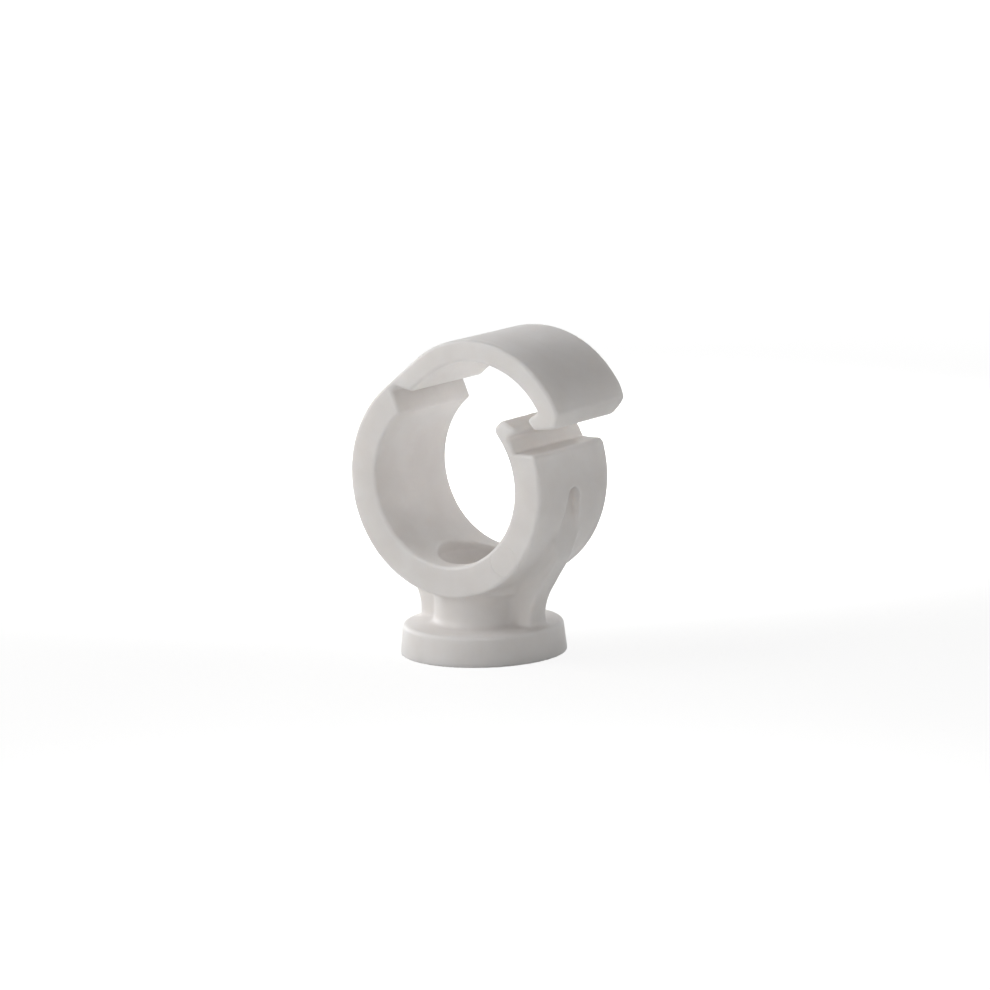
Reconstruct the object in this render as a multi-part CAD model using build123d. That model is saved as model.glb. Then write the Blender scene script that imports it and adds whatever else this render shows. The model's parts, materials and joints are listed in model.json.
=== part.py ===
from build123d import *
import math
import os

# Driving dimensions, millimetres. The foot stands on z = 0 and the pipe runs along y.
pipe_diameter = 15.0
pipe_clearance = 0.1
ring_wall = 2.9
clip_width = 11.2
pipe_height = 16.4

foot_diameter = 15.3
foot_thickness = 2.8
foot_draft = 6.0
foot_edge_radius = 0.45

boss_diameter = 8.8
gusset_thickness = 2.5
gusset_foot_half = 6.2
gusset_waist = 2.1
gusset_waist_radius = 5.0
gusset_bend_drop = 6.5
gusset_bend_radius = 3.5
flank_groove_depth = 1.0
flank_groove_width = 1.9
neck_fillet = 0.6
gusset_flare = 0.6
gusset_root_radius = 1.3

screw_diameter = 4.5
screw_head_diameter = 7.9
screw_head_seat = 0.1
countersink_angle = 90.0

arm_thickness = 2.0
arm_step = 0.4
arm_rise = 4.63
arm_lean = 43.6
arm_end_angle = 23.0
notch_lean = 0.95
notch_mouth = 1.35
web_thickness = 0.72
web_length = 0.6
web_place = 0.24

barb_reach = 1.4
tip_length = 1.9
tip_corner_radius = 2.5
ledge_height = 3.3
lip_thickness = 0.95
lip_end_angle = 44.5
bead_angle = 33.5
bead_reach = 1.3

edge_radius = 0.3

# Values that follow from the driving dimensions
bore_radius = pipe_diameter / 2 + pipe_clearance
ring_radius = bore_radius + ring_wall
arm_radius = ring_radius - arm_step
arm_inner = arm_radius - arm_thickness
lip_radius = bore_radius + lip_thickness
bead_radius = lip_radius + bead_reach
foot_radius = foot_diameter / 2
flank_half = ring_radius - flank_groove_depth
arm_centre = Vector(arm_rise * math.cos(math.radians(arm_lean)), arm_rise * math.sin(math.radians(arm_lean)))
back_angle = arm_lean + 90 - math.degrees(math.asin(arm_step / arm_rise))
outward = Vector(math.cos(math.radians(back_angle)), math.sin(math.radians(back_angle)))
along = Vector(outward.Y, -outward.X)
web_along = arm_rise * web_place
notch_bore_angle = back_angle - math.degrees(math.asin((web_along - notch_lean) / bore_radius))


def polar(radius, angle, centre=Vector(0, 0)):
    """Point in the ring's front view at a radius and an angle from +x."""
    turn = math.radians(angle)
    return centre + Vector(radius * math.cos(turn), radius * math.sin(turn))


def on_hinge(run, rise):
    """Point measured along the straight back of the hinge and out from the ring's centre."""
    return along * run + outward * rise


def outline():
    """Front view of ring, jaw, hinge and arm as one closed face about the pipe centre."""
    web_low = on_hinge(web_along - web_length / 2, ring_radius - web_thickness)
    web_high = on_hinge(web_along + web_length / 2, ring_radius - web_thickness)
    bore_start = polar(bore_radius, notch_bore_angle)
    ledge_out_angle = math.degrees(math.asin(ledge_height / ring_radius))
    ledge_in_angle = math.degrees(math.asin(ledge_height / lip_radius))
    ledge_out = polar(ring_radius, ledge_out_angle)
    ledge_in = polar(lip_radius, ledge_in_angle)
    undercut = polar(lip_radius, bead_angle)
    bead = polar(bead_radius, bead_angle - 0.5)
    lip_top = polar(lip_radius + bead_reach * 0.4, lip_end_angle)
    lip_bore = polar(bore_radius, lip_end_angle)
    tip_turn = math.degrees(tip_length / arm_radius)
    arm_start = on_hinge(web_along + notch_mouth, ring_radius - arm_thickness)
    arm_bend = polar(arm_inner, back_angle, arm_centre)
    arm_in_end = polar(arm_inner, arm_end_angle + tip_turn * 0.6, arm_centre)
    arm_out_end = polar(arm_radius, arm_end_angle, arm_centre)
    barb = polar(arm_inner - barb_reach, arm_end_angle + tip_turn * 0.6, arm_centre)
    tip_in = polar(arm_inner - barb_reach * 0.75, arm_end_angle - tip_turn * 0.3, arm_centre)
    tip_out = polar(arm_radius - arm_thickness * 0.4, arm_end_angle - tip_turn * 0.6, arm_centre)
    ring_back = polar(ring_radius, back_angle)
    arm_back = polar(arm_radius, back_angle, arm_centre)
    ring_low = polar(ring_radius, (back_angle + ledge_out_angle + 360) / 2)
    bore_low = polar(bore_radius, (notch_bore_angle + lip_end_angle + 360) / 2)
    lip_mid = polar(lip_radius, (bead_angle + ledge_in_angle) / 2)
    arm_top_out = polar(arm_radius, (back_angle + arm_end_angle) / 2, arm_centre)
    arm_top_in = polar(arm_inner, (back_angle + arm_end_angle) / 2, arm_centre)
    face = make_face(
        [
            ThreePointArc(ring_back, ring_low, ledge_out),
            Line(ledge_out, ledge_in),
            ThreePointArc(ledge_in, lip_mid, undercut),
            Line(undercut, bead),
            Line(bead, lip_top),
            Line(lip_top, lip_bore),
            ThreePointArc(lip_bore, bore_low, bore_start),
            Line(bore_start, web_low),
            Line(web_low, web_high),
            Line(web_high, arm_start),
            Line(arm_start, arm_bend),
            ThreePointArc(arm_bend, arm_top_in, arm_in_end),
            Line(arm_in_end, barb),
            Line(barb, tip_in),
            Line(tip_in, tip_out),
            Line(tip_out, arm_out_end),
            ThreePointArc(arm_out_end, arm_top_out, arm_back),
            Line(arm_back, ring_back),
        ]
    )
    corners = [
        (0.6, [lip_top]),
        (0.5, [ledge_out, lip_bore, arm_out_end]),
        (0.35, [undercut, bead, barb, tip_in, tip_out]),
        (0.2, [ledge_in, bore_start, arm_start, arm_in_end]),
    ]
    for radius, points in corners:
        chosen = [min(face.vertices(), key=lambda v: (Vector(v) - p).length) for p in points]
        face = fillet(chosen, radius)
    return face


def tip_corner():
    """Waste outside the round that the arm's end has at its back corner, seen from the side."""
    size = tip_corner_radius
    low = arm_centre.Y + arm_radius * math.sin(math.radians(arm_end_angle)) - tip_length * 0.7
    square = Pos(size, -size) * Rectangle(size * 2, size * 2)
    waste = Pos(clip_width / 2 - size, pipe_height + low + size) * (square - Circle(size))
    side = Plane(origin=(arm_centre.X + arm_inner / 2, 0, 0), x_dir=(0, 1, 0), z_dir=(1, 0, 0))
    return extrude(side * waste, arm_radius)


def moulding():
    """Ring, jaw, hinge and arm pulled to the clip's width, with the rims softened."""
    front = Plane(origin=(0, 0, pipe_height), x_dir=(1, 0, 0), z_dir=(0, -1, 0))
    solid = extrude(front * outline(), clip_width / 2, both=True)
    rims = [e for e in solid.edges() if abs(abs(e.center().Y) - clip_width / 2) < 1e-4]
    return fillet(rims, edge_radius)


def gusset_outline():
    """Front view of the plate either side of the boss, flaring from the foot out to the ring's flanks."""
    bend_z = pipe_height - gusset_bend_drop
    waist_z = foot_thickness + gusset_waist
    plate = make_face(
        Polyline(
            (-gusset_foot_half, foot_thickness / 2),
            (gusset_foot_half, foot_thickness / 2),
            (gusset_foot_half, waist_z),
            (flank_half, bend_z),
            (flank_half, bend_z + ring_wall),
            (-flank_half, bend_z + ring_wall),
            (-flank_half, bend_z),
            (-gusset_foot_half, waist_z),
            close=True,
        )
    )
    for level, radius in ((bend_z, gusset_bend_radius), (waist_z, gusset_waist_radius)):
        plate = fillet([v for v in plate.vertices() if abs(v.Y - level) < 1e-6], radius)
    return plate


def gussets():
    """The upright plates, hollowed out to the boss at their roots and to the ring along their tops."""
    half = gusset_thickness / 2
    plan = Circle(boss_diameter / 2) + Rectangle(ring_radius * 2, gusset_thickness)
    roots = [v for v in plan.vertices() if 1e-3 < abs(v.X) < boss_diameter / 2 and abs(abs(v.Y) - half) < 1e-6]
    plan = fillet(roots, gusset_root_radius)
    upright = extrude(Pos(0, 0, foot_thickness / 2) * plan, pipe_height - foot_thickness / 2)
    outer = ring_radius + gusset_flare
    wide = half + gusset_flare
    inner = ring_radius - ring_wall / 4
    curve = RadiusArc((ring_radius, wide), (outer, half), gusset_flare)
    section = make_face(
        [
            Line((inner, half), (inner, wide)),
            Line((inner, wide), (ring_radius, wide)),
            curve,
            Line((outer, half), (inner, half)),
        ]
    )
    across = Plane(origin=(0, 0, pipe_height), x_dir=(0, 0, -1), z_dir=(1, 0, 0))
    collar = revolve(across * section, Axis((0, 0, pipe_height), (0, 1, 0)), 360)
    reach = extrude(Plane.XZ * gusset_outline(), wide, both=True)
    flare = collar & reach
    plate = upright & extrude(Plane.XZ * gusset_outline(), boss_diameter, both=True)
    return plate + flare + mirror(flare, Plane.XZ)


def neck():
    """Foot, turned boss and gussets, reaching up to the bore."""
    top_radius = foot_radius - foot_thickness * math.tan(math.radians(foot_draft))
    boss_radius = boss_diameter / 2
    under_ring = pipe_height - ring_radius
    collar = boss_radius + neck_fillet
    foot = Pos(0, 0, foot_thickness / 2) * Cone(foot_radius, top_radius, foot_thickness)
    foot = fillet(foot.edges().sort_by(Axis.Z)[-1], foot_edge_radius)
    half_section = make_face(
        [
            Line((0, foot_thickness / 2), (collar, foot_thickness / 2)),
            Line((collar, foot_thickness / 2), (collar, foot_thickness)),
            RadiusArc((collar, foot_thickness), (boss_radius, foot_thickness + neck_fillet), neck_fillet),
            Line((boss_radius, foot_thickness + neck_fillet), (boss_radius, under_ring - neck_fillet)),
            RadiusArc((boss_radius, under_ring - neck_fillet), (collar, under_ring), neck_fillet),
            Line((collar, under_ring), (collar, pipe_height - bore_radius)),
            Line((collar, pipe_height - bore_radius), (0, pipe_height - bore_radius)),
            Line((0, pipe_height - bore_radius), (0, foot_thickness / 2)),
        ]
    )
    boss = revolve(Plane.XZ * half_section, Axis.Z, 360)
    bore_space = Pos(0, 0, pipe_height) * Rot(90, 0, 0) * Cylinder(bore_radius, clip_width * 2)
    return foot + boss + gussets() - bore_space


def flank_groove():
    """Round-topped groove in the ring's right flank, widening to where the gusset comes out of it."""
    half = flank_groove_width / 2
    top = half * 1.4
    wide = gusset_thickness / 2 + gusset_flare / 4
    fall = math.sqrt(ring_radius**2 - flank_half**2) - top
    skirt = Polyline((-half, 0), (half, 0), (wide, -fall), (-wide, -fall), close=True)
    floor = Plane(origin=(flank_half, 0, pipe_height - top), x_dir=(0, 1, 0), z_dir=(1, 0, 0))
    return extrude(floor * (Circle(half) + make_face(skirt)), ring_wall)


def screw_way():
    """Screw hole up the neck with a seat for a countersunk head in the floor of the bore."""
    seat_z = pipe_height - bore_radius - screw_head_seat
    head_radius = screw_head_diameter / 2
    hole_radius = screw_diameter / 2
    sink = (head_radius - hole_radius) / math.tan(math.radians(countersink_angle / 2))
    hole = Pos(0, 0, seat_z / 2) * Cylinder(hole_radius, seat_z + 2)
    cone = Pos(0, 0, seat_z - sink / 2) * Cone(hole_radius, head_radius, sink)
    head = Pos(0, 0, seat_z + bore_radius / 4) * Cylinder(head_radius, bore_radius / 2)
    return hole + cone + head


ring_and_arm = moulding()
web_middle = on_hinge(web_along, ring_radius - web_thickness / 2)
web_place_in_space = Pos(web_middle.X, 0, pipe_height + web_middle.Y) * Rot(0, 90 - back_angle, 0)
web_block = web_place_in_space * Box(web_length, clip_width + 2, web_thickness * 1.6)
hinge_web = ring_and_arm & web_block
ring, arm = (ring_and_arm - web_block).solids().sort_by(Axis.Z)
closing_arm = arm - tip_corner()

clip_body = ring + neck()
clip_body -= flank_groove() + mirror(flank_groove(), Plane.YZ)
clip_body -= screw_way()

os.makedirs("parts", exist_ok=True)
for name, node in {"clip_body": clip_body, "hinge_web": hinge_web, "closing_arm": closing_arm}.items():
    export_step(node, f"parts/{name}.step")
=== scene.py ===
import json
import math
import bpy
from mathutils import Matrix, Vector


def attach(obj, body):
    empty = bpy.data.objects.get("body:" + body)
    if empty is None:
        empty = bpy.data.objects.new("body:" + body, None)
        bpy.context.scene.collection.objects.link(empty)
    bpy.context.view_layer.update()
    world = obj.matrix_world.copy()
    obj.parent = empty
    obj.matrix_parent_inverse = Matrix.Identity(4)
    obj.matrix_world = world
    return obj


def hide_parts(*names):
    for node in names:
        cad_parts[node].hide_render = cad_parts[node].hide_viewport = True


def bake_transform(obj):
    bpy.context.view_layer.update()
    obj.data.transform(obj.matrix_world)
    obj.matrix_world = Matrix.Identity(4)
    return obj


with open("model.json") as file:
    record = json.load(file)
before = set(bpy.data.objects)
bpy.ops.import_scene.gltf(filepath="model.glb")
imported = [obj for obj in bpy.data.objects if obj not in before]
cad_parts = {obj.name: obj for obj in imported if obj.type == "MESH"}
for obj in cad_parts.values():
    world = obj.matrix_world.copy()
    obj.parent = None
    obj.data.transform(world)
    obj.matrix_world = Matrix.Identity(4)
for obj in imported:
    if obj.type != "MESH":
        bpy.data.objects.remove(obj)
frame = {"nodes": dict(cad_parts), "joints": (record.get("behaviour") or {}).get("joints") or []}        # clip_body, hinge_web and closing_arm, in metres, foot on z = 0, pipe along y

scene = bpy.context.scene
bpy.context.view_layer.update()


def linear(hexColour):
    parts = [int(hexColour[i:i + 2], 16) / 255 for i in (1, 3, 5)]
    parts = [p / 12.92 if p <= 0.04045 else ((p + 0.055) / 1.055) ** 2.4 for p in parts]
    return (*parts, 1.0)


def addNode(tree, kind, settings=None, sockets=None):
    made = tree.nodes.new(kind)
    for key, value in (settings or {}).items():
        setattr(made, key, value)
    for key, value in (sockets or {}).items():
        if isinstance(value, bpy.types.NodeSocket):
            tree.links.new(value, made.inputs[key])
        else:
            made.inputs[key].default_value = value
    return made


def only(piece):
    bpy.ops.object.select_all(action="DESELECT")
    piece.select_set(True)
    bpy.context.view_layer.objects.active = piece


def pickFaces(piece, wanted):       # leaves the piece in edit mode with those faces selected
    only(piece)
    bpy.ops.object.mode_set(mode="EDIT")
    bpy.ops.mesh.select_all(action="DESELECT")
    bpy.ops.object.mode_set(mode="OBJECT")
    for face in piece.data.polygons:
        face.select = wanted(face)
    bpy.ops.object.mode_set(mode="EDIT")


# The clip is one moulding, so the three CAD solids are fused, their last sharp corners are softened as a
# mould leaves them, and the result is parted again only across the hinge, where the arm bends away.
moulding = {
    "overlap": 0.06,       # mm that the web is pushed into its neighbours so that they fuse
    "weld": 0.0005,        # mm, joins the loose triangles of the solids
    "voxel": 0.1,          # mm, a third of the rim radius
    "softFactor": 0.5,
    "softPasses": 3,       # each pass rounds a sharp corner a little more
    "neckPasses": 150,     # the joins of boss, gussets and ring are far rounder than the rims
    "neckLast": 45,        # passes over the filled joins and the edges beside them
    "neckFoot": 2.7,       # mm up, just under the foot's top, where the rounding of the neck starts
    "neckTop": (11.5, 14.0),       # mm up, between which it fades out
    "neckShare": (0.35, 0.5),      # its share at the bottom, and how that grows per mm of height
    "neckReach": (6.8, 3.2, 4),    # mm about the stem, the height from which that widens, and how fast
    "neckSkin": 0.9,       # mm under the ring's outside that it still takes in
    "neckRim": 0.7,        # mm that it leaves alone along the front and back
    "endPasses": 40,       # for the lip's end, the back corner of the arm's tip and the screw seat's rim
    "endFade": 2,          # the rounding is full within half of each reach
    "lipEnd": Vector((6.0, 0, 22.3)),      # mm, rounded along the whole width
    "lipReach": 1.1,
    "tipCorner": Vector((12.5, 5.4, 23.2)),    # mm
    "tipReach": 1.9,
    "seatRadius": 3.95,    # mm, the screw head's recess in the bore
    "seatReach": 0.6,
    "grooveEnd": 15.7,     # mm up, where each flank's groove ends in a small hollow
    "grooveHalf": 0.2,
    "grooveSink": 0.6,
    "grooveFall": 0.5,     # mm about the hollow's floor that its sides take
    "grooveOut": 1.0,      # mm outside the bore, so that only the flank is sunk
    "keptFaces": 0.32,     # share of faces left once flat places are thinned
    "cutWeld": 0.002,      # mm, clears slivers beside the cuts at the hinge
    "shadeAngle": 50,      # degrees, sharper edges than this stay crisp
}
ring = {                   # mm
    "height": 16.4,        # the pipe's axis above the foot
    "bore": 7.6,
    "radius": 10.5,
    "width": 11.2,
}
hinge = {
    "middle": Vector(frame["joints"][0]["pos_m"]) * 1000,   # mm
    "lean": 38.64,         # degrees that the web's length leans up from +x
    "length": 0.6,         # mm of web between the body and the arm
    "reach": 1.3,          # mm about the middle in which the moulding is parted
    "endFacing": 0.99,     # how squarely a face looks along the web where it is the web's end
}
lean = math.radians(hinge["lean"])
hingeRun = Vector((math.cos(lean), 0, math.sin(lean)))
webHalf = hingeRun * hinge["length"] / 2


def fromPipe(place):
    return math.hypot(place.x, place.z - ring["height"])


def fromStem(place):
    return math.hypot(place.x, place.y)


def smooth(piece, name, passes, group=""):
    rounding = piece.modifiers.new(name, "SMOOTH")
    rounding.factor = moulding["softFactor"]
    rounding.iterations = passes
    rounding.vertex_group = group
    bpy.ops.object.modifier_apply(modifier=name)


def atGrooveEnd(face, side):
    up, across = abs(face.center.z - moulding["grooveEnd"]), abs(face.center.y)
    onFlank = face.center.x * side > ring["bore"] + moulding["grooveOut"]
    return onFlank and max(up, across) < moulding["grooveHalf"]


def nearHinge(face):
    away = face.center - hinge["middle"]
    return math.hypot(away.x, away.z) < hinge["reach"]


loose = []
for nodeName in ("clip_body", "hinge_web", "closing_arm"):
    copy = bpy.data.objects.new("loose_" + nodeName, frame["nodes"][nodeName].data.copy())
    scene.collection.objects.link(copy)
    only(copy)
    bpy.ops.object.mode_set(mode="EDIT")
    bpy.ops.mesh.select_all(action="SELECT")
    bpy.ops.transform.resize(value=(1000, 1000, 1000), center_override=(0, 0, 0))   # shaped in millimetres
    bpy.ops.mesh.remove_doubles(threshold=moulding["weld"])
    bpy.ops.object.mode_set(mode="OBJECT")
    loose.append(copy)

web = loose[1]
for side in (-1, 1):
    pickFaces(web, lambda face: face.normal.dot(hingeRun) * side > hinge["endFacing"])
    bpy.ops.transform.translate(value=hingeRun * side * moulding["overlap"])
    bpy.ops.object.mode_set(mode="OBJECT")

bpy.ops.object.select_all(action="DESELECT")
for copy in loose:
    copy.select_set(True)
bpy.context.view_layer.objects.active = loose[0]
bpy.ops.object.join()
whole = bpy.context.object
whole.name = "wholeMoulding"
fuse = whole.modifiers.new("fuse", "REMESH")
fuse.mode = "VOXEL"
fuse.voxel_size = moulding["voxel"]
bpy.ops.object.modifier_apply(modifier="fuse")
smooth(whole, "soften", moulding["softPasses"])

neckGroup = whole.vertex_groups.new(name="neck")
fadeFrom, fadeTo = moulding["neckTop"]
share, growth = moulding["neckShare"]
reach, widensFrom, widening = moulding["neckReach"]
for point in whole.data.vertices:
    height = point.co.z
    outside = fromPipe(point.co) > ring["radius"] - moulding["neckSkin"]
    offRims = abs(point.co.y) < ring["width"] / 2 - moulding["neckRim"]
    nearStem = fromStem(point.co) < reach + max(0, height - widensFrom) * widening
    if outside and offRims and nearStem and moulding["neckFoot"] < height < fadeTo:
        fade = (fadeTo - height) / (fadeTo - fadeFrom)
        weight = min(1, fade, share + (height - moulding["neckFoot"]) * growth)
        neckGroup.add([point.index], weight, "REPLACE")
sharp = [(point.co.copy(), point.normal.copy()) for point in whole.data.vertices]
smooth(whole, "fillNeck", moulding["neckPasses"], "neck")
for point, (before, out) in zip(whole.data.vertices, sharp):
    if (point.co - before).dot(out) < 0:
        point.co = before          # only the hollows are filled, so the gussets keep their width
smooth(whole, "blendNeck", moulding["neckLast"], "neck")

endGroup = whole.vertex_groups.new(name="ends")
lipEnd = moulding["lipEnd"]
for point in whole.data.vertices:
    lipAway = math.hypot(point.co.x - lipEnd.x, point.co.z - lipEnd.z) / moulding["lipReach"]
    tipAway = (point.co - moulding["tipCorner"]).length / moulding["tipReach"]
    seatAway = 1
    if point.co.z < ring["height"]:
        offRim = math.hypot(fromStem(point.co) - moulding["seatRadius"], fromPipe(point.co) - ring["bore"])
        seatAway = offRim / moulding["seatReach"]
    nearest = min(lipAway, tipAway, seatAway)
    if nearest < 1:
        endGroup.add([point.index], min(1, (1 - nearest) * moulding["endFade"]), "REPLACE")
smooth(whole, "roundEnds", moulding["endPasses"], "ends")

for side in (-1, 1):
    pickFaces(whole, lambda face: atGrooveEnd(face, side))
    bpy.ops.transform.translate(
        value=(-side * moulding["grooveSink"], 0, 0), use_proportional_edit=True,
        proportional_edit_falloff="SMOOTH", proportional_size=moulding["grooveFall"])
    bpy.ops.object.mode_set(mode="OBJECT")
thin = whole.modifiers.new("thin", "DECIMATE")
thin.ratio = moulding["keptFaces"]
bpy.ops.object.modifier_apply(modifier="thin")
print("moulding fused, faces:", len(whole.data.polygons))

for side in (-1, 1):     # part the moulding at each end of the web, and nowhere else along those planes
    pickFaces(whole, nearHinge)
    bpy.ops.mesh.bisect(plane_co=hinge["middle"] + webHalf * side, plane_no=hingeRun)
    bpy.ops.mesh.edge_split(type="EDGE")
    bpy.ops.object.mode_set(mode="OBJECT")

only(whole)
bpy.ops.object.mode_set(mode="EDIT")
bpy.ops.mesh.select_all(action="SELECT")
bpy.ops.mesh.separate(type="LOOSE")
bpy.ops.object.mode_set(mode="OBJECT")
parted = sorted(bpy.context.selected_objects, key=lambda piece: -len(piece.data.polygons))
print("moulding parted:", [len(piece.data.polygons) for piece in parted])
clipBody, closingArm, hingeWeb = parted[:3]
for piece, name in ((clipBody, "clipBody"), (closingArm, "closingArm"), (hingeWeb, "hingeWeb")):
    piece.name = name
    piece.data.name = name
    only(piece)
    bpy.ops.object.mode_set(mode="EDIT")
    bpy.ops.mesh.select_all(action="SELECT")
    bpy.ops.mesh.remove_doubles(threshold=moulding["cutWeld"])
    bpy.ops.mesh.select_all(action="DESELECT")
    bpy.ops.mesh.select_mode(type="EDGE")
    bpy.ops.mesh.select_non_manifold(
        use_wire=False, use_multi_face=False, use_non_contiguous=False, use_verts=False)
    bpy.ops.mesh.fill_holes(sides=0)       # closes the cut ends, which stay hidden against each other
    bpy.ops.mesh.select_all(action="SELECT")
    bpy.ops.mesh.normals_make_consistent(inside=False)
    bpy.ops.transform.resize(value=(0.001, 0.001, 0.001), center_override=(0, 0, 0))    # back to metres
    bpy.ops.object.mode_set(mode="OBJECT")
    bpy.ops.object.shade_smooth_by_angle(angle=math.radians(moulding["shadeAngle"]))
    print("piece", name, "faces", len(piece.data.polygons))


# Polypropylene, injection moulded: a dense off-white with a satin skin, faintly mottled where the melt
# flowed, with the mould's fine spark texture and its parting line along the middle of the width.
polypropylene = {
    "pale": "#ECE9E7",
    "deep": "#E6E2DF",
    "mottle": 3.5,         # mm across one cloud of the colour
    "patches": 0.9,        # patches of gloss per mm
    "spread": (0.3, 0.7),  # the part of each noise over which colour and gloss change
    "roughLow": 0.36,
    "roughHigh": 0.46,
    "ior": 1.49,
    "grain": 0.16,         # mm, the real texture is finer and would not show
    "grainDepth": 0.006,   # mm
    "partingHalf": 0.07,   # mm, half the width of the parting line's ridge
    "partingRise": 0.02,   # mm
    "pinMark": Vector((6.4, 0, 9.8)),   # mm, where an ejector pin has pressed on the front face
    "pinRadius": 1.4,
    "pinWidth": 0.1,
    "pinDepth": 0.03,
    "frontFace": -5.5,     # mm, the pin's mark lies only in front of this
    "lightShare": 0.7,     # share of the light that goes into the plastic and comes out elsewhere
    "lightDepth": 1.6,     # mm that it wanders meanwhile
    "lightReds": (1.0, 0.97, 0.92),    # blue is lost first, so thin and hollow places glow a little warm
    "hingeNear": 0.3,      # mm from the hinge, where the cut through the plastic would stop that light
    "hingeFar": 1.4,
}
plastic = bpy.data.materials.new("moulded_polypropylene")
plastic.use_nodes = True
tree = plastic.node_tree
tree.nodes.clear()
place = addNode(tree, "ShaderNodeTexCoord")
inMm = addNode(tree, "ShaderNodeMapping", None, {
    "Vector": place.outputs["Object"], "Scale": (1000, 1000, 1000)})


def acrossFrom(middle):      # mm from a line that runs through there along the clip's width
    offset = addNode(tree, "ShaderNodeVectorMath", {"operation": "SUBTRACT"}, {
        0: inMm.outputs["Vector"], 1: middle})
    flat = addNode(tree, "ShaderNodeVectorMath", {"operation": "MULTIPLY"}, {
        0: offset.outputs["Vector"], 1: (1, 0, 1)})
    return addNode(tree, "ShaderNodeVectorMath", {"operation": "LENGTH"}, {
        0: flat.outputs["Vector"]}).outputs["Value"]


spreadLow, spreadHigh = polypropylene["spread"]
mottle = addNode(tree, "ShaderNodeTexNoise", None, {
    "Vector": inMm.outputs["Vector"], "Scale": 1 / polypropylene["mottle"],
    "Detail": 3.0, "Roughness": 0.55})
tone = addNode(tree, "ShaderNodeValToRGB", None, {"Fac": mottle.outputs["Fac"]})
tone.color_ramp.elements[0].position = spreadLow
tone.color_ramp.elements[0].color = linear(polypropylene["deep"])
tone.color_ramp.elements[1].position = spreadHigh
tone.color_ramp.elements[1].color = linear(polypropylene["pale"])
skin = addNode(tree, "ShaderNodeTexNoise", None, {
    "Vector": inMm.outputs["Vector"], "Scale": polypropylene["patches"],
    "Detail": 4.0, "Roughness": 0.6})
rough = addNode(tree, "ShaderNodeMapRange", None, {
    "Value": skin.outputs["Fac"], "From Min": spreadLow, "From Max": spreadHigh,
    "To Min": polypropylene["roughLow"], "To Max": polypropylene["roughHigh"]})

grain = addNode(tree, "ShaderNodeTexNoise", None, {
    "Vector": inMm.outputs["Vector"], "Scale": 1 / polypropylene["grain"],
    "Detail": 2.0, "Roughness": 0.5})
grainRise = addNode(tree, "ShaderNodeMath", {"operation": "MULTIPLY"}, {
    0: grain.outputs["Fac"], 1: polypropylene["grainDepth"]})
axes = addNode(tree, "ShaderNodeSeparateXYZ", None, {"Vector": inMm.outputs["Vector"]})
fromMiddle = addNode(tree, "ShaderNodeMath", {"operation": "ABSOLUTE"}, {0: axes.outputs["Y"]})
parting = addNode(tree, "ShaderNodeMapRange", {"interpolation_type": "SMOOTHSTEP"}, {
    "Value": fromMiddle.outputs[0], "From Min": 0.0, "From Max": polypropylene["partingHalf"],
    "To Min": polypropylene["partingRise"], "To Max": 0.0})
pinEdge = addNode(tree, "ShaderNodeMath", {"operation": "SUBTRACT"}, {
    0: acrossFrom(polypropylene["pinMark"]), 1: polypropylene["pinRadius"]})
pinAway = addNode(tree, "ShaderNodeMath", {"operation": "ABSOLUTE"}, {0: pinEdge.outputs[0]})
pinDip = addNode(tree, "ShaderNodeMapRange", {"interpolation_type": "SMOOTHSTEP"}, {
    "Value": pinAway.outputs[0], "From Min": 0.0, "From Max": polypropylene["pinWidth"],
    "To Min": -polypropylene["pinDepth"], "To Max": 0.0})
onFront = addNode(tree, "ShaderNodeMath", {"operation": "LESS_THAN"}, {
    0: axes.outputs["Y"], 1: polypropylene["frontFace"]})
pinShown = addNode(tree, "ShaderNodeMath", {"operation": "MULTIPLY"}, {
    0: pinDip.outputs["Result"], 1: onFront.outputs[0]})
marks = addNode(tree, "ShaderNodeMath", {"operation": "ADD"}, {
    0: parting.outputs["Result"], 1: pinShown.outputs[0]})
relief = addNode(tree, "ShaderNodeMath", {"operation": "ADD"}, {
    0: marks.outputs[0], 1: grainRise.outputs[0]})
bump = addNode(tree, "ShaderNodeBump", None, {
    "Height": relief.outputs[0], "Distance": 0.001, "Strength": 1.0})     # heights are in millimetres
lightIn = addNode(tree, "ShaderNodeMapRange", {"interpolation_type": "SMOOTHSTEP"}, {
    "Value": acrossFrom(hinge["middle"]), "From Min": polypropylene["hingeNear"],
    "From Max": polypropylene["hingeFar"], "To Min": 0.0, "To Max": polypropylene["lightShare"]})
surface = addNode(tree, "ShaderNodeBsdfPrincipled", None, {
    "Base Color": tone.outputs["Color"], "Roughness": rough.outputs["Result"],
    "Normal": bump.outputs["Normal"], "IOR": polypropylene["ior"],
    "Subsurface Weight": lightIn.outputs["Result"], "Subsurface Radius": polypropylene["lightReds"],
    "Subsurface Scale": polypropylene["lightDepth"] / 1000})
addNode(tree, "ShaderNodeOutputMaterial", None, {"Surface": surface.outputs["BSDF"]})

for piece, nodeName in ((clipBody, "clip_body"), (closingArm, "closing_arm"), (hingeWeb, "hinge_web")):
    piece.data.materials.clear()
    piece.data.materials.append(plastic)
    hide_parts(nodeName)
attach(clipBody, "clip")
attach(closingArm, "arm")
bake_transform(hingeWeb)
print("plastic on, pieces riding")


def seenRays(tree):      # 1 on rays from the camera and on those that gloss or glass sends on
    path = addNode(tree, "ShaderNodeLightPath")
    seen = addNode(tree, "ShaderNodeMath", {"operation": "MAXIMUM"}, {
        0: path.outputs["Is Camera Ray"], 1: path.outputs["Is Glossy Ray"]})
    return addNode(tree, "ShaderNodeMath", {"operation": "MAXIMUM"}, {
        0: seen.outputs[0], 1: path.outputs["Is Transmission Ray"]}).outputs[0]


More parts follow.
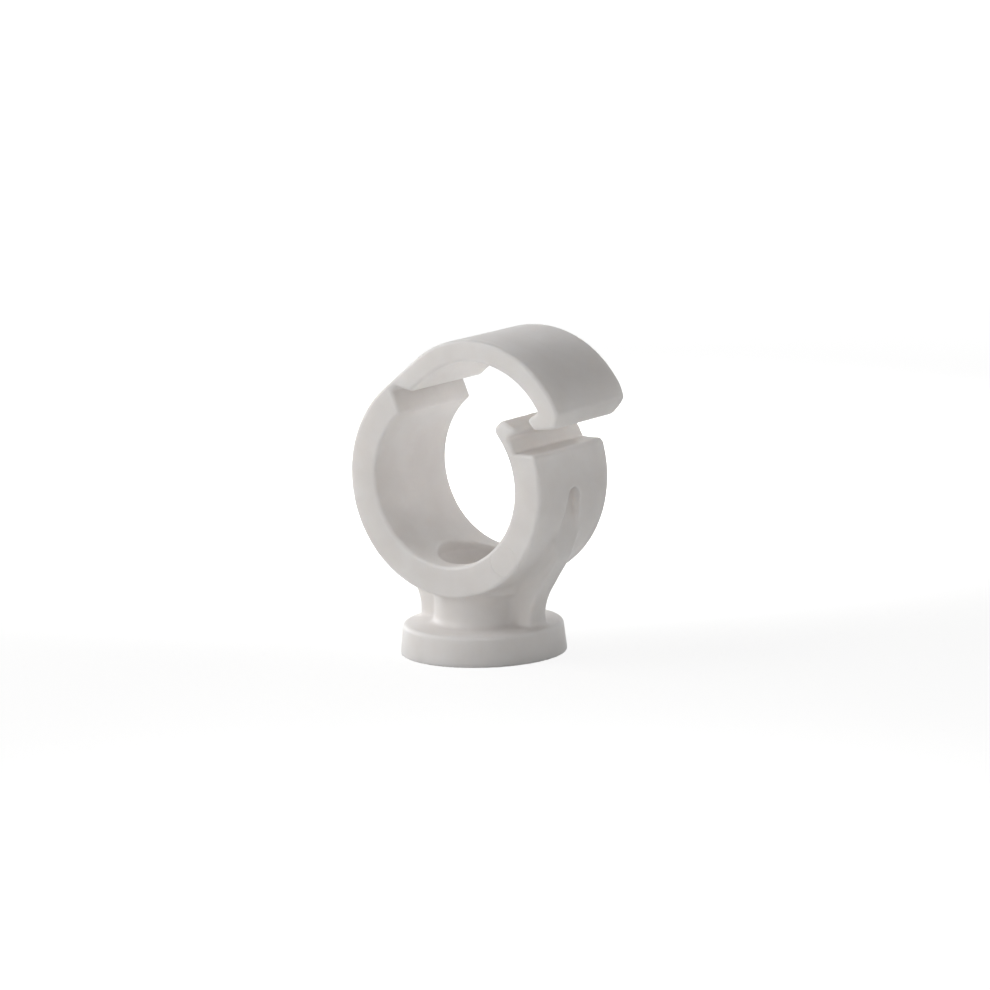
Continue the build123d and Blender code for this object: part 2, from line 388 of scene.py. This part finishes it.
# White card, uncoated: plain and matt. The camera sees it white with a faint shadow, and it throws the
# light that falls on it back up at the clip.
table = {
    "colour": "#EEEEED",
    "glow": 1.1,           # strength of the white that the camera sees, mixed with the card's own light
    "glowShare": 0.8,      # its share near the clip, where the shadow falls
    "nearClip": 0.1,       # m, from here outwards the card fades to plain white
    "farOff": 0.35,        # m, where it has done so
    "half": 2.5,
}
bpy.ops.object.select_all(action="DESELECT")
bpy.ops.mesh.primitive_plane_add(size=table["half"] * 2, location=(0, 0, 0))
floor = bpy.context.object
floor.name = "tableTop"
paper = bpy.data.materials.new("white_card")
paper.use_nodes = True
tree = paper.node_tree
tree.nodes.clear()
spot = addNode(tree, "ShaderNodeTexCoord")
outward = addNode(tree, "ShaderNodeVectorMath", {"operation": "LENGTH"}, {0: spot.outputs["Object"]})
fading = addNode(tree, "ShaderNodeMapRange", {"interpolation_type": "SMOOTHSTEP"}, {
    "Value": outward.outputs["Value"], "From Min": table["nearClip"], "From Max": table["farOff"],
    "To Min": table["glowShare"], "To Max": 1.0})
whiteShare = addNode(tree, "ShaderNodeMath", {"operation": "MULTIPLY"}, {
    0: seenRays(tree), 1: fading.outputs["Result"]})
matt = addNode(tree, "ShaderNodeBsdfDiffuse", None, {"Color": linear(table["colour"])})
glow = addNode(tree, "ShaderNodeEmission", None, {"Color": (1, 1, 1, 1), "Strength": table["glow"]})
mixed = addNode(tree, "ShaderNodeMixShader", None, {
    0: whiteShare.outputs[0], 1: matt.outputs["BSDF"], 2: glow.outputs["Emission"]})
addNode(tree, "ShaderNodeOutputMaterial", None, {"Surface": mixed.outputs["Shader"]})
floor.data.materials.append(paper)


def bearing(azimuth, elevation):     # degrees, round from the clip's front and up
    turn, rise = math.radians(azimuth), math.radians(elevation)
    return Vector((math.sin(turn) * math.cos(rise), -math.cos(turn) * math.cos(rise), math.sin(rise)))


# Soft studio light. Azimuth is from the camera's side, left negative. The lamps with an elevation look at
# the clip, and the wash lamps straight down on the card beside it, which throws their light up under it.
lamps = {
    "left": {"azimuth": -75, "elevation": 12, "power": 0.32},
    "highLeft": {"azimuth": -90, "elevation": 45, "power": 0.44},
    "backLeft": {"azimuth": -135, "elevation": 12, "power": 0.37},
    "front": {"azimuth": 0, "elevation": 12, "power": 0.176},
    "right": {"azimuth": 90, "elevation": 12, "power": 0.222},
    "backRight": {"azimuth": 135, "elevation": 12, "power": 0.066},
    "highBack": {"azimuth": 180, "elevation": 45, "power": 0.14},
    "washBack": {"azimuth": 180, "power": 0.32},
    "washFront": {"azimuth": 0, "power": 0.029},
}
lampStand = {
    "size": 0.25,          # m across a lamp that looks at the clip
    "distance": 0.35,      # m from the ring's centre
    "washSize": 0.06,
    "washAway": 0.09,      # m from the clip's middle
    "washHeight": 0.1,     # m above the card
    "washSpread": 70,      # degrees, so narrow that no light goes straight to the clip
    "worldLight": 0.0,     # the lamps and the card light the clip
}
ringCentre = Vector((0, 0, ring["height"] / 1000))
cameraSide = 35.279        # degrees that the camera stands round from the clip's front
for name, lamp in lamps.items():
    azimuth = cameraSide + lamp["azimuth"]
    light = bpy.data.lights.new(name, "AREA")
    light.shape = "DISK"
    light.energy = lamp["power"]
    stand = bpy.data.objects.new(name, light)
    scene.collection.objects.link(stand)
    stand.rotation_mode = "QUATERNION"
    stand.visible_camera = False
    if "elevation" in lamp:
        aim = bearing(azimuth, lamp["elevation"])
        light.size = lampStand["size"]
        stand.location = ringCentre + aim * lampStand["distance"]
        stand.rotation_quaternion = aim.to_track_quat("Z", "Y")
    else:
        light.size = lampStand["washSize"]
        light.spread = math.radians(lampStand["washSpread"])
        stand.location = bearing(azimuth, 0) * lampStand["washAway"]
        stand.location.z = lampStand["washHeight"]

world = bpy.data.worlds.new("studio")
scene.world = world
world.use_nodes = True
tree = world.node_tree
tree.nodes.clear()
room = addNode(tree, "ShaderNodeBackground", None, {
    "Color": (1, 1, 1, 1), "Strength": lampStand["worldLight"]})
white = addNode(tree, "ShaderNodeBackground", None, {"Color": (1, 1, 1, 1), "Strength": 1.0})
mixed = addNode(tree, "ShaderNodeMixShader", None, {
    0: seenRays(tree), 1: room.outputs["Background"], 2: white.outputs["Background"]})
addNode(tree, "ShaderNodeOutputWorld", None, {"Surface": mixed.outputs["Shader"]})
print("table and light set")


# The camera stands where the photograph was taken from, right of the clip's front and a little above
eye = {
    "azimuth": cameraSide,
    "elevation": 10.13,
    "roll": -1.651,
    "distance": 0.38865,   # m to the ring's centre
    "lens": 155.05,        # mm
    "sensor": 36.0,        # mm
    "shift": (0.01612, -0.02128),
    "clip": (0.01, 20.0),  # m, the nearest and farthest that it sees
}
back = bearing(eye["azimuth"], eye["elevation"])
roll = Matrix.Rotation(math.radians(eye["roll"]), 4, "Z").to_quaternion()
cameraData = bpy.data.cameras.new("eye")
cameraData.lens = eye["lens"]
cameraData.sensor_width = eye["sensor"]
cameraData.shift_x, cameraData.shift_y = eye["shift"]
cameraData.clip_start, cameraData.clip_end = eye["clip"]
camera = bpy.data.objects.new("eye", cameraData)
scene.collection.objects.link(camera)
camera.rotation_mode = "QUATERNION"
camera.rotation_quaternion = back.to_track_quat("Z", "Y") @ roll
camera.location = ringCentre + back * eye["distance"]
scene.camera = camera
scene.view_settings.view_transform = "Standard"
